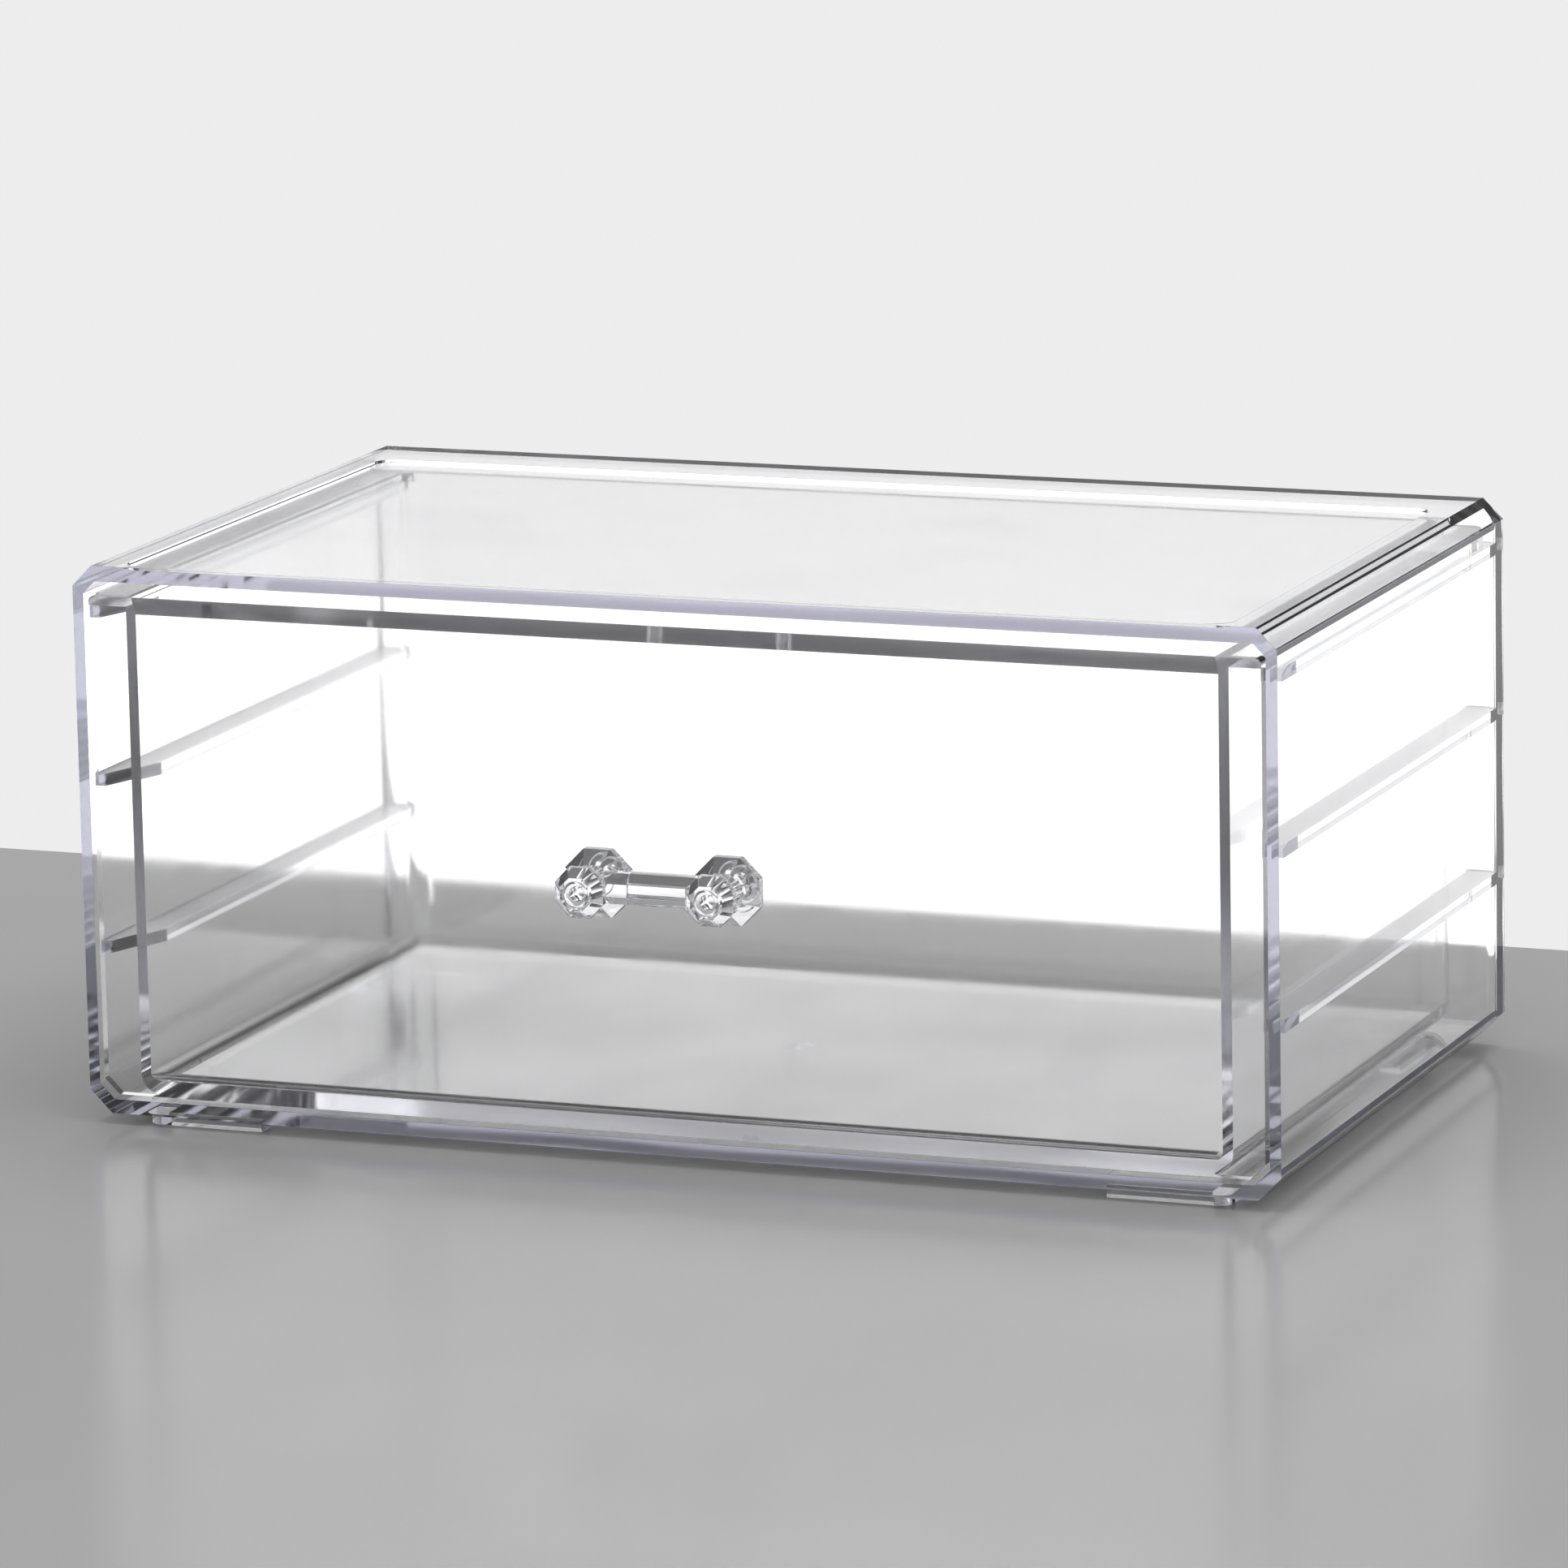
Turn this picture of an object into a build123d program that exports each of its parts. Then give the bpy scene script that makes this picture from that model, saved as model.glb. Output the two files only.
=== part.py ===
from build123d import *
import os

os.makedirs("parts", exist_ok=True)

# Millimetres. +Z is up, the front faces -Y and the feet stand on Z = 0.
# The origin lies under the middle of the whole length, from the back of the case to the handle.

# Case, one moulding open at the front
case_width = 240.0
case_depth = 139.0
case_height = 106.5
side_wall = 2.2
back_wall = 2.3
roof_thickness = 3.0
floor_thickness = 2.8
top_bevel = 4.0
bottom_bevel = 4.5
cavity_top_bevel = 2.4
cavity_bottom_bevel = 3.0
cavity_corner = 2.5

# Feet under the case, and the recess in its roof that takes the feet of another unit
foot_height = 2.2
foot_length = 24.0
foot_width = 4.0
foot_corner = 3.0
foot_side_inset = 10.7
foot_front_inset = 2.5
foot_back_inset = 15.5
recess_depth = 0.6
recess_gap = 1.2

# Rails along the inside of both side walls
rail_count = 3
rail_pitch = 32.6
rail_width = 6.3
rail_thickness = 2.4
rail_lead_width = 4.4
rail_lead_length = 13.0

# Drawer, one moulding with its front panel
panel_thickness = 3.4
panel_inset = 0.2
panel_top_corner = 1.2
panel_bottom_bevel = 3.0
rim_land = 0.4
rim_bevel_height = 3.6
tray_wall = 2.0
tray_floor = 2.4
tray_corner = 5.0
tray_bottom_edge = 4.0
flange_thickness = 2.2
flange_corner = 3.0
gate_ring_radius = 2.6
gate_ring_depth = 0.4
gate_stub_radius = 0.9

# Running gaps between the drawer and the case
top_gap = 2.8
bottom_gap = 1.0
side_gap = 0.9
back_gap = 3.7
rail_side_gap = 1.5
rail_front_gap = 0.6
hang_gap = 0.15

# Handle, a faceted bar between two knobs
knob_spacing = 26.0
handle_drop = 0.5
knob_sides = 8
flange_across = 13.0
flange_depth = 1.8
shoulder_across = 7.8
shoulder_reach = 4.4
neck_across = 7.0
neck_reach = 7.2
head_across = 9.6
head_reach = 9.3
head_depth = 1.5
face_across = 6.4
knob_reach = 12.5
bar_across = 6.0
bar_reach = 4.0

# Clear pins that hold the handle to the front panel
pin_radius = 1.5
pin_head_radius = 2.5
pin_head_depth = 1.0
pin_dome = 0.3
pin_gap = 0.05
rivet_radius = 2.8
rivet_depth = 0.8

# Places worked out from the sizes above
case_front = (knob_reach - panel_inset - case_depth) / 2
case_back = case_front + case_depth
case_bottom = foot_height
case_top = case_bottom + case_height
cavity_half = case_width / 2 - side_wall
cavity_back = case_back - back_wall
cavity_floor = case_bottom + floor_thickness
cavity_roof = case_top - roof_thickness

foot_half = case_width / 2 - foot_side_inset
foot_span = case_depth - foot_front_inset - foot_back_inset
foot_middle = case_front + foot_front_inset + foot_span / 2

panel_front = case_front + panel_inset
panel_back = panel_front + panel_thickness
panel_half = cavity_half - side_gap
drawer_bottom = cavity_floor + bottom_gap
drawer_top = cavity_roof - top_gap
drawer_height = drawer_top - drawer_bottom
drawer_middle = drawer_bottom + drawer_height / 2

rail_inner = cavity_half - rail_width
rail_front = panel_back + rail_front_gap
rail_length = cavity_back - rail_front
top_rail = drawer_top - flange_thickness - hang_gap
rail_planes = [Plane.XY.offset(top_rail - n * rail_pitch) for n in range(rail_count)]

tray_half = rail_inner - rail_side_gap
tray_back = cavity_back - back_gap
tray_length = tray_back - panel_back
tray_middle = panel_back + tray_length / 2
tray_inside_half = tray_half - tray_wall

handle_height = drawer_middle - handle_drop
knob_centre = (knob_spacing / 2, handle_height)
knob_centres = [(-knob_spacing / 2, handle_height), knob_centre]
pin_hole_radius = pin_radius + pin_gap
panel_front_plane = Plane.XZ.offset(-panel_front)
knob_face_plane = panel_front_plane.offset(knob_reach)
rivet_plane = Plane.XZ.offset(-panel_back)


# The space inside the case, with its vertical back corners rounded
with BuildPart() as cavity:
    with BuildSketch(Plane.XZ.offset(-case_front)) as cavity_section:
        with Locations((0, (cavity_floor + cavity_roof) / 2)):
            Rectangle(2 * cavity_half, cavity_roof - cavity_floor)
        chamfer(cavity_section.vertices().group_by(Axis.Y)[-1], cavity_top_bevel)
        chamfer(cavity_section.vertices().group_by(Axis.Y)[0], cavity_bottom_bevel)
    extrude(amount=case_front - cavity_back)
    with BuildSketch(Plane.XY.offset(case_bottom)) as cavity_plan:
        with Locations((0, (case_front + cavity_back) / 2)):
            Rectangle(2 * cavity_half, cavity_back - case_front)
        fillet(cavity_plan.vertices().group_by(Axis.Y)[-1], cavity_corner)
    extrude(amount=case_height, mode=Mode.INTERSECT)


# Case
with BuildPart() as case:
    with BuildSketch(Plane.XZ.offset(-case_front)) as case_section:
        with Locations((0, case_bottom + case_height / 2)):
            Rectangle(case_width, case_height)
        chamfer(case_section.vertices().group_by(Axis.Y)[-1], top_bevel)
        chamfer(case_section.vertices().group_by(Axis.Y)[0], bottom_bevel)
    extrude(amount=-case_depth)
    add(cavity.part, mode=Mode.SUBTRACT)

    # Rails, tapered at the front so that the drawer finds its way in
    with BuildSketch(*rail_planes):
        with Locations((rail_inner + rail_width / 2, rail_front + rail_length / 2)):
            Rectangle(rail_width, rail_length)
        Polygon(
            (rail_inner, rail_front),
            (rail_inner + rail_lead_width, rail_front),
            (rail_inner, rail_front + rail_lead_length),
            align=None,
            mode=Mode.SUBTRACT,
        )
        mirror(about=Plane.YZ)
    extrude(amount=-rail_thickness)

    # Recess in the roof
    with BuildSketch(Plane.XY.offset(case_top)):
        with Locations((0, foot_middle)):
            RectangleRounded(
                2 * (foot_half + recess_gap), foot_span + 2 * recess_gap, foot_corner + recess_gap
            )
    extrude(amount=-recess_depth, mode=Mode.SUBTRACT)

    # Feet, the four corners of one rounded frame
    with BuildSketch(Plane.XY):
        with Locations((0, foot_middle)):
            RectangleRounded(2 * foot_half, foot_span, foot_corner)
            Rectangle(2 * (foot_half - foot_width), foot_span - 2 * foot_width, mode=Mode.SUBTRACT)
            Rectangle(2 * (foot_half - foot_length), foot_span, mode=Mode.SUBTRACT)
            Rectangle(2 * foot_half, foot_span - 2 * foot_length, mode=Mode.SUBTRACT)
    extrude(amount=foot_height)


# Drawer
with BuildPart() as drawer:
    with BuildSketch(Plane.XY.offset(drawer_bottom)) as tray_plan:
        with Locations((0, tray_middle)):
            Rectangle(2 * tray_half, tray_length)
        fillet(tray_plan.vertices().group_by(Axis.Y)[-1], tray_corner)
    extrude(amount=drawer_height)
    fillet(drawer.faces().sort_by(Axis.Z)[0].edges().sort_by(Axis.Y)[1:], tray_bottom_edge)

    with BuildSketch(panel_front_plane) as panel_outline:
        with Locations((0, drawer_middle)):
            Rectangle(2 * panel_half, drawer_height)
        fillet(panel_outline.vertices().group_by(Axis.Y)[-1], panel_top_corner)
        chamfer(panel_outline.vertices().group_by(Axis.Y)[0], panel_bottom_bevel)
    extrude(amount=-panel_thickness)

    # Side flanges that hang on the top rails
    with BuildSketch(Plane.XY.offset(drawer_top)) as flange_plan:
        with Locations((0, tray_middle)):
            Rectangle(2 * panel_half, tray_length)
        fillet(flange_plan.vertices().group_by(Axis.Y)[-1], flange_corner)
    extrude(amount=-flange_thickness)

    # Space inside, rounded along its floor and up its back corners
    with BuildSketch(Plane.XY.offset(drawer_top)) as inside_plan:
        with Locations((0, tray_middle - tray_wall / 2)):
            Rectangle(2 * tray_inside_half, tray_length - tray_wall)
        fillet(inside_plan.vertices().group_by(Axis.Y)[-1], tray_corner - tray_wall)
    extrude(amount=tray_floor - drawer_height, mode=Mode.SUBTRACT)
    inside_floor = drawer.faces().filter_by(Axis.Z).filter_by_position(
        Axis.Z, drawer_bottom + tray_floor / 2, drawer_bottom + 2 * tray_floor
    )
    fillet(inside_floor.edges(), tray_bottom_edge - tray_wall)

    # Bevel along the top of the panel, behind its front edge
    with BuildSketch(Plane.YZ):
        with BuildLine():
            Polyline(
                (panel_front + rim_land, drawer_top),
                (panel_back, drawer_top),
                (panel_back, drawer_top - rim_bevel_height),
                close=True,
            )
        make_face()
    extrude(amount=tray_inside_half, both=True, mode=Mode.SUBTRACT)

    # Sunk ring with the stub of the moulding gate, under the middle of the floor
    with BuildSketch(Plane.XY.offset(drawer_bottom)):
        with Locations((0, tray_middle)):
            Circle(gate_ring_radius)
            Circle(gate_stub_radius, mode=Mode.SUBTRACT)
    extrude(amount=gate_ring_depth, mode=Mode.SUBTRACT)

    # Holes for the handle's pins
    with BuildSketch(panel_front_plane):
        with Locations(knob_centres):
            Circle(pin_hole_radius)
    extrude(amount=-panel_thickness, mode=Mode.SUBTRACT)


# Handle
knob_sections = [
    (0, flange_across),
    (flange_depth, flange_across),
    (shoulder_reach, shoulder_across),
    (neck_reach, neck_across),
    (head_reach, head_across),
    (head_reach + head_depth, head_across),
    (knob_reach, face_across),
]

with BuildPart() as handle:
    for reach, across in knob_sections:
        with BuildSketch(panel_front_plane.offset(reach)):
            with Locations(knob_centre):
                RegularPolygon(across / 2, knob_sides, major_radius=False, rotation=180 / knob_sides)
    loft(ruled=True)
    mirror(about=Plane.YZ)

    with BuildSketch(Plane.YZ):
        with Locations((panel_front - bar_reach, handle_height)):
            RegularPolygon(bar_across / 2, knob_sides, major_radius=False, rotation=180 / knob_sides)
    extrude(amount=knob_spacing / 2, both=True)

    with BuildSketch(knob_face_plane):
        with Locations(knob_centres):
            Circle(pin_hole_radius)
    extrude(amount=-knob_reach, mode=Mode.SUBTRACT)
    with BuildSketch(knob_face_plane):
        with Locations(knob_centres):
            Circle(pin_head_radius + pin_gap)
    extrude(amount=-pin_head_depth, mode=Mode.SUBTRACT)


# Pins, each with a low head in the knob's face and a flat rivet head behind the panel
with BuildPart() as handle_pins:
    with BuildSketch(knob_face_plane):
        with Locations(knob_centres):
            Circle(pin_head_radius)
    extrude(amount=-pin_head_depth)
    head_rims = handle_pins.faces().sort_by(Axis.Y)[:2].edges()
    chamfer(head_rims, pin_dome)

    with BuildSketch(knob_face_plane):
        with Locations(knob_centres):
            Circle(pin_radius)
    extrude(amount=-(knob_reach + panel_thickness))
    with BuildSketch(rivet_plane):
        with Locations(knob_centres):
            Circle(rivet_radius)
    extrude(amount=-rivet_depth)
    rivet_rims = handle_pins.faces().sort_by(Axis.Y)[-2:].edges()
    chamfer(rivet_rims, pin_dome)


case.part.label = "case"
drawer.part.label = "drawer"
handle.part.label = "handle"
handle_pins.part.label = "handle_pins"
export_step(case.part, "parts/case.step")
export_step(drawer.part, "parts/drawer.step")
export_step(handle.part, "parts/handle.step")
export_step(handle_pins.part, "parts/handle_pins.step")
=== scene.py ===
import math

import bmesh
import bpy
from mathutils import Matrix

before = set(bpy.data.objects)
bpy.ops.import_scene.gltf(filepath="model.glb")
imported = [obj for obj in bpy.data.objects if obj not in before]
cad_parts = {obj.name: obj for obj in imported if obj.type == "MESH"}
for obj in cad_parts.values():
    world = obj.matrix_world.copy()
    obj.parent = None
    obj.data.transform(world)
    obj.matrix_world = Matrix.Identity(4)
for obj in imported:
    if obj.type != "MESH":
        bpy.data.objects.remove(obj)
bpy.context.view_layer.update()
print("frame loaded:", ", ".join(sorted(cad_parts)))


# helpers for shader trees

def addNode(tree, kind, **values):
    node = tree.nodes.new(kind)
    for name, value in values.items():
        setattr(node, name, value)
    return node


def link(tree, source, target):
    tree.links.new(source, target)


def newTree(owner):
    owner.use_nodes = True
    tree = owner.node_tree
    tree.nodes.clear()
    return tree


def grey(level):
    return (level, level, level, 1)


# what moulding and handling leave in clear plastic: slow waves, and faint wiping marks

flowLook = {"waveDetail": 1.0, "waveRoughness": 0.35, "wipeDetail": 3.0}


def mouldFlow(look):
    group = bpy.data.node_groups.new("mouldFlow", "ShaderNodeTree")
    face = group.interface
    face.new_socket("Wave Scale", in_out="INPUT", socket_type="NodeSocketFloat")
    face.new_socket("Wipe Scale", in_out="INPUT", socket_type="NodeSocketFloat")
    face.new_socket("Haze", in_out="INPUT", socket_type="NodeSocketFloat")
    face.new_socket("Height", in_out="OUTPUT", socket_type="NodeSocketFloat")
    face.new_socket("Roughness", in_out="OUTPUT", socket_type="NodeSocketFloat")
    given = addNode(group, "NodeGroupInput")
    result = addNode(group, "NodeGroupOutput")
    place = addNode(group, "ShaderNodeTexCoord")
    waves = addNode(group, "ShaderNodeTexNoise")
    waves.inputs["Detail"].default_value = look["waveDetail"]
    waves.inputs["Roughness"].default_value = look["waveRoughness"]
    link(group, place.outputs["Object"], waves.inputs["Vector"])
    link(group, given.outputs["Wave Scale"], waves.inputs["Scale"])
    link(group, waves.outputs["Fac"], result.inputs["Height"])
    wipes = addNode(group, "ShaderNodeTexNoise")
    wipes.inputs["Detail"].default_value = look["wipeDetail"]
    link(group, place.outputs["Object"], wipes.inputs["Vector"])
    link(group, given.outputs["Wipe Scale"], wipes.inputs["Scale"])
    amount = addNode(group, "ShaderNodeMath", operation="MULTIPLY")
    link(group, wipes.outputs["Fac"], amount.inputs[0])
    link(group, given.outputs["Haze"], amount.inputs[1])
    link(group, amount.outputs[0], result.inputs["Roughness"])
    return group


# masks from a place on the object

def within(group, value, low, high):
    above = addNode(group, "ShaderNodeMath", operation="GREATER_THAN")
    link(group, value, above.inputs[0])
    above.inputs[1].default_value = low
    under = addNode(group, "ShaderNodeMath", operation="LESS_THAN")
    link(group, value, under.inputs[0])
    under.inputs[1].default_value = high
    return times(group, above.outputs[0], under.outputs[0])


def times(group, first, second):
    product = addNode(group, "ShaderNodeMath", operation="MULTIPLY")
    link(group, first, product.inputs[0])
    link(group, second, product.inputs[1])
    return product.outputs[0]


# 1 on the rails inside the case, whose faces came out of the mould less polished

def railFaces(rails):
    group = bpy.data.node_groups.new("railFaces", "ShaderNodeTree")
    group.interface.new_socket("Mask", in_out="OUTPUT", socket_type="NodeSocketFloat")
    result = addNode(group, "NodeGroupOutput")
    place = addNode(group, "ShaderNodeTexCoord")
    parts = addNode(group, "ShaderNodeSeparateXYZ")
    link(group, place.outputs["Object"], parts.inputs[0])
    sideways = addNode(group, "ShaderNodeMath", operation="ABSOLUTE")
    link(group, parts.outputs["X"], sideways.inputs[0])
    across = within(group, sideways.outputs[0], rails["inner"], rails["outer"])
    along = within(group, parts.outputs["Y"], rails["front"], rails["back"])
    below = addNode(group, "ShaderNodeMath", operation="SUBTRACT")
    below.inputs[0].default_value = rails["top"]
    link(group, parts.outputs["Z"], below.inputs[1])
    repeat = addNode(group, "ShaderNodeMath", operation="MODULO")
    link(group, below.outputs[0], repeat.inputs[0])
    repeat.inputs[1].default_value = rails["pitch"]
    level = within(group, repeat.outputs[0], 0, rails["depth"])
    mask = times(group, times(group, across, along), level)
    link(group, mask, result.inputs["Mask"])
    return group


flow = mouldFlow(flowLook)


def clearPlastic(name, look):
    material = bpy.data.materials.new(name)
    tree = newTree(material)
    out = addNode(tree, "ShaderNodeOutputMaterial")
    shader = addNode(tree, "ShaderNodeBsdfPrincipled")
    shader.inputs["Base Color"].default_value = (*look["colour"], 1)
    shader.inputs["Transmission Weight"].default_value = 1.0
    shader.inputs["IOR"].default_value = look["ior"]
    link(tree, shader.outputs["BSDF"], out.inputs["Surface"])
    marks = addNode(tree, "ShaderNodeGroup", node_tree=flow)
    marks.inputs["Wave Scale"].default_value = look["waveScale"]
    marks.inputs["Wipe Scale"].default_value = look["wipeScale"]
    marks.inputs["Haze"].default_value = look["haze"]
    roughness = marks.outputs["Roughness"]
    if "rails" in look:
        rails = addNode(tree, "ShaderNodeGroup", node_tree=railFaces(look["rails"]))
        frost = addNode(tree, "ShaderNodeMath", operation="MULTIPLY_ADD")
        link(tree, rails.outputs["Mask"], frost.inputs[0])
        frost.inputs[1].default_value = look["railFrost"]
        link(tree, roughness, frost.inputs[2])
        roughness = frost.outputs[0]
    link(tree, roughness, shader.inputs["Roughness"])
    bump = addNode(tree, "ShaderNodeBump")
    bump.inputs["Distance"].default_value = look["waveHeight"]
    link(tree, marks.outputs["Height"], bump.inputs["Height"])
    link(tree, bump.outputs["Normal"], shader.inputs["Normal"])
    inside = addNode(tree, "ShaderNodeVolumeAbsorption")
    inside.inputs["Color"].default_value = (*look["depthColour"], 1)
    inside.inputs["Density"].default_value = look["depthDensity"]
    link(tree, inside.outputs["Volume"], out.inputs["Volume"])
    return material


def softenEdges(node, look):
    weld = node.modifiers.new("weld", "WELD")
    weld.merge_threshold = look["weldGap"]
    if look["airGap"]:
        gap = node.modifiers.new("airGap", "DISPLACE")  # clear parts that touch need air between them
        gap.mid_level = 0
        gap.strength = -look["airGap"]
    flatten = node.modifiers.new("flatten", "DECIMATE")
    flatten.decimate_type = "DISSOLVE"
    flatten.angle_limit = math.radians(look["flatAngle"])
    edges = node.modifiers.new("edges", "BEVEL")
    edges.width = look["edgeRadius"]
    edges.segments = look["edgeSegments"]
    edges.limit_method = "ANGLE"
    edges.angle_limit = math.radians(look["edgeAngle"])


plasticLook = {
    "colour": (0.995, 0.995, 0.997),
    "ior": 1.59,
    "waveScale": 14.0,
    "waveHeight": 0.0002,
    "wipeScale": 60.0,
    "haze": 0.06,
    "depthColour": (0.15, 0.15, 0.32),
    "depthDensity": 7.0,
    "edgeRadius": 0.00025,
    "edgeSegments": 2,
    "edgeAngle": 30,
    "flatAngle": 0.5,
    "weldGap": 1e-6,
    "airGap": 0,
}
railLook = {
    "inner": 0.1120,
    "outer": 0.1177,
    "front": -0.0594,
    "back": 0.0733,
    "top": 0.10065,
    "pitch": 0.0326,
    "depth": 0.0006,
}
caseLook = dict(plasticLook, railFrost=0.22, rails=railLook)
drawerLook = dict(plasticLook, waveScale=11.0, waveHeight=0.0006, haze=0.1, depthDensity=1.6)
handleLook = dict(plasticLook, waveScale=60.0, waveHeight=0.00005, wipeScale=150.0, haze=0.02)
handleLook["airGap"] = 0.00003
pinLook = dict(handleLook, edgeRadius=0.0001)

nodeLooks = {"case": caseLook, "drawer": drawerLook, "handle": handleLook, "handle_pins": pinLook}
for nodeName, look in nodeLooks.items():
    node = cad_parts[nodeName]
    node.data.materials.clear()
    node.data.materials.append(clearPlastic(nodeName + "Plastic", look))
    softenEdges(node, look)
    print("dressed", nodeName)


# table, which ends a little behind the case

tableLook = {
    "back": 0.159,
    "front": -3.0,
    "side": 3.0,
    "thickness": 0.03,
    "top": -0.00005,  # just clear of the feet
    "colour": 0.42,
    "mottle": 0.03,
    "mottleScale": 9.0,
    "roughness": 0.18,
    "gloss": 0.25,
}


def tableTop(look):
    form = bmesh.new()
    bmesh.ops.create_cube(form, size=1.0)
    size = (2 * look["side"], look["back"] - look["front"], look["thickness"])
    bmesh.ops.scale(form, vec=size, verts=form.verts)
    middle = (0, (look["back"] + look["front"]) / 2, look["top"] - look["thickness"] / 2)
    bmesh.ops.translate(form, vec=middle, verts=form.verts)
    mesh = bpy.data.meshes.new("tableTop")
    form.to_mesh(mesh)
    form.free()
    table = bpy.data.objects.new("tableTop", mesh)
    bpy.context.scene.collection.objects.link(table)
    return table


def tableLacquer(look):
    material = bpy.data.materials.new("tableLacquer")
    tree = newTree(material)
    out = addNode(tree, "ShaderNodeOutputMaterial")
    shader = addNode(tree, "ShaderNodeBsdfPrincipled")
    shader.inputs["Roughness"].default_value = look["roughness"]
    shader.inputs["Specular IOR Level"].default_value = look["gloss"]
    link(tree, shader.outputs["BSDF"], out.inputs["Surface"])
    place = addNode(tree, "ShaderNodeTexCoord")
    mottle = addNode(tree, "ShaderNodeTexNoise")
    mottle.inputs["Scale"].default_value = look["mottleScale"]
    link(tree, place.outputs["Object"], mottle.inputs["Vector"])
    shades = addNode(tree, "ShaderNodeMix", data_type="RGBA")
    shades.inputs["A"].default_value = grey(look["colour"] - look["mottle"])
    shades.inputs["B"].default_value = grey(look["colour"] + look["mottle"])
    link(tree, mottle.outputs["Fac"], shades.inputs["Factor"])
    link(tree, shades.outputs["Result"], shader.inputs["Base Color"])
    return material


table = tableTop(tableLook)
table.data.materials.append(tableLacquer(tableLook))
print("table set")


# studio: a bright backdrop low down, a dark band above it and a soft ceiling; each pair is an
# elevation in degrees and the level there

studioLook = {
    "backdrop": 0.85,
    "ambient": 0.75,
    "brightest": 1.55,
    "throughPlastic": [
        (-90, 0.55), (-30, 0.75), (-20, 1.0), (1, 1.0), (7, 0.69),
        (15, 0.64), (19, 0.03), (43, 0.03), (50, 0.6), (90, 0.6),
    ],
    "onSurfaces": [
        (-90, 0.55), (2, 0.55), (6, 0.2), (15, 0.18),
        (19, 0.05), (58, 0.05), (64, 0.6), (90, 0.6),
    ],
    "lampSize": 1.6,
    "lampPower": 12,
    "lampPlace": (0.2, 0.1, 1.7),
}


def byHeight(tree, levels, brightest):
    facing = addNode(tree, "ShaderNodeTexCoord")
    parts = addNode(tree, "ShaderNodeSeparateXYZ")
    link(tree, facing.outputs["Generated"], parts.inputs[0])
    height = addNode(tree, "ShaderNodeMapRange")
    height.inputs["From Min"].default_value = -1
    link(tree, parts.outputs["Z"], height.inputs["Value"])
    ramp = addNode(tree, "ShaderNodeValToRGB")
    stops = ramp.color_ramp.elements
    for index, (elevation, level) in enumerate(levels):
        place = (math.sin(math.radians(elevation)) + 1) / 2
        stop = stops[0] if index == 0 else stops[-1] if index == len(levels) - 1 else stops.new(place)
        stop.position = place
        stop.color = grey(level)
    link(tree, height.outputs["Result"], ramp.inputs["Fac"])
    light = addNode(tree, "ShaderNodeBackground")
    light.inputs["Strength"].default_value = brightest
    link(tree, ramp.outputs["Color"], light.inputs["Color"])
    return light


def flatLight(tree, level):
    light = addNode(tree, "ShaderNodeBackground")
    light.inputs["Color"].default_value = grey(level)
    return light


def choose(tree, factor, low, high):
    mix = addNode(tree, "ShaderNodeMixShader")
    link(tree, factor, mix.inputs["Fac"])
    link(tree, low.outputs[0], mix.inputs[1])
    link(tree, high.outputs[0], mix.inputs[2])
    return mix


world = bpy.data.worlds.new("studio")
bpy.context.scene.world = world
tree = newTree(world)
path = addNode(tree, "ShaderNodeLightPath")
shade = flatLight(tree, studioLook["ambient"])
for ray, levels in (("Is Glossy Ray", "onSurfaces"), ("Is Transmission Ray", "throughPlastic")):
    seen = byHeight(tree, studioLook[levels], studioLook["brightest"])
    shade = choose(tree, path.outputs[ray], shade, seen)
shade = choose(tree, path.outputs["Is Camera Ray"], shade, flatLight(tree, studioLook["backdrop"]))
out = addNode(tree, "ShaderNodeOutputWorld")
link(tree, shade.outputs[0], out.inputs["Surface"])

lamp = bpy.data.lights.new("softBox", "AREA")
lamp.size = studioLook["lampSize"]
lamp.energy = studioLook["lampPower"]
lampObject = bpy.data.objects.new("softBox", lamp)
lampObject.location = studioLook["lampPlace"]
bpy.context.scene.collection.objects.link(lampObject)
print("studio lit")


# camera, at the photograph's viewing angle

cameraLook = {
    "location": (0.635847, -1.611627, 0.420994),
    "turn": 21.5598,
    "tilt": 11.7537,
    "roll": -1.1276,
    "lens": 211.706,
    "sensor": 36,
    "nearest": 0.05,
    "bounces": 48,
}
camera = bpy.data.objects.new("camera", bpy.data.cameras.new("camera"))
camera.data.lens = cameraLook["lens"]
camera.data.sensor_width = cameraLook["sensor"]
camera.data.clip_start = cameraLook["nearest"]
turn = Matrix.Rotation(math.radians(cameraLook["turn"]), 4, "Z")
tilt = Matrix.Rotation(math.radians(90 - cameraLook["tilt"]), 4, "X")
roll = Matrix.Rotation(math.radians(cameraLook["roll"]), 4, "Z")
camera.matrix_world = Matrix.Translation(cameraLook["location"]) @ turn @ tilt @ roll
bpy.context.scene.collection.objects.link(camera)
bpy.context.scene.camera = camera

settings = bpy.context.scene.cycles
settings.max_bounces = cameraLook["bounces"]
settings.glossy_bounces = cameraLook["bounces"]
settings.transmission_bounces = cameraLook["bounces"]
bpy.context.scene.view_settings.view_transform = "Standard"
print("camera set")
